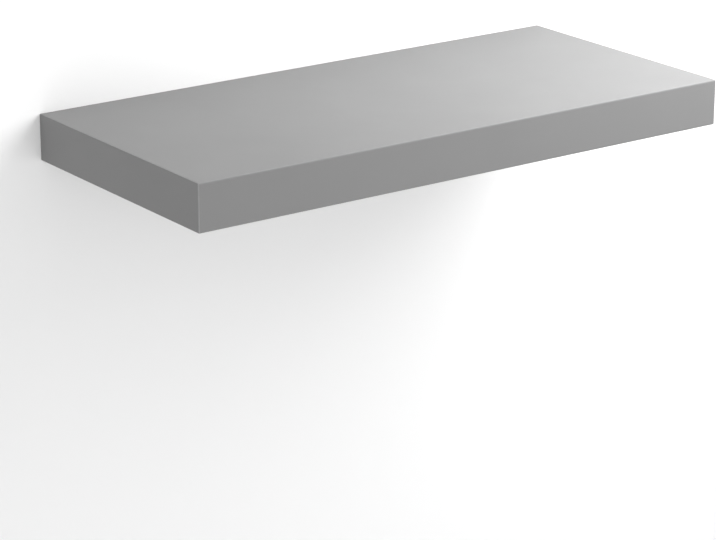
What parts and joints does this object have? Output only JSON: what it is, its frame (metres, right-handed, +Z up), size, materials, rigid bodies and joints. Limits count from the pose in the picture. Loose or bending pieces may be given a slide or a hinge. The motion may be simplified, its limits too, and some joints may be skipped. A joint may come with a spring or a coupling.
{
  "type": "floating wall shelf",
  "caption": "Floating wall shelf: a grey foil-wrapped honeycomb board that slides over hidden steel rods on a screwed wall rail and is locked from below by set screws.",
  "frame": {"origin": "on the wall plane, at the middle of the wall rail's back face", "axes": "+X along the wall to the viewer's right, +Y into the wall, +Z up"},
  "size_m": [0.5, 0.23, 0.038],
  "materials": {
    "grey_foil": "smooth satin decor foil",
    "hdf_panel": "raw hardboard",
    "chipboard": "raw chipboard",
    "kraft_paper": "kraft paper honeycomb",
    "zinc_steel": "zinc plated",
    "weld_steel": "zinc-plated weld bead",
    "staple_wire": "galvanised wire",
    "brass": "turned brass",
    "black_steel": "black oxide"
  },
  "bodies": {
    "bracket": {"wall_rail": "zinc_steel", "left_support_rod": "zinc_steel", "right_support_rod": "zinc_steel", "rod_welds": "weld_steel"},
    "shelf": {"decor_foil": "grey_foil", "left_edge_band": "grey_foil", "right_edge_band": "grey_foil", "top_panel": "hdf_panel", "bottom_panel": "hdf_panel", "front_batten": "chipboard", "left_end_batten": "chipboard", "right_end_batten": "chipboard", "left_rear_batten": "chipboard", "centre_rear_batten": "chipboard", "right_rear_batten": "chipboard", "left_rod_rib": "chipboard", "right_rod_rib": "chipboard", "frame_staples": "staple_wire", "left_honeycomb": "kraft_paper", "centre_honeycomb": "kraft_paper", "right_honeycomb": "kraft_paper", "left_lock_insert": "brass", "right_lock_insert": "brass"},
    "left_lock": {"left_lock_screw": "black_steel"},
    "right_lock": {"right_lock_screw": "black_steel"}
  },
  "joints": [
    {"name": "shelf_slide", "type": "slide", "parent": "bracket", "child": "shelf", "axis": [0, -1, 0], "range_m": [0, 0.16]},
    {"name": "left_lock_travel", "type": "slide", "parent": "shelf", "child": "left_lock", "axis": [0, 0, -1], "range_m": [0, 0.0025]},
    {"name": "right_lock_travel", "type": "slide", "parent": "shelf", "child": "right_lock", "axis": [0, 0, -1], "range_m": [0, 0.0025]}
  ]
}
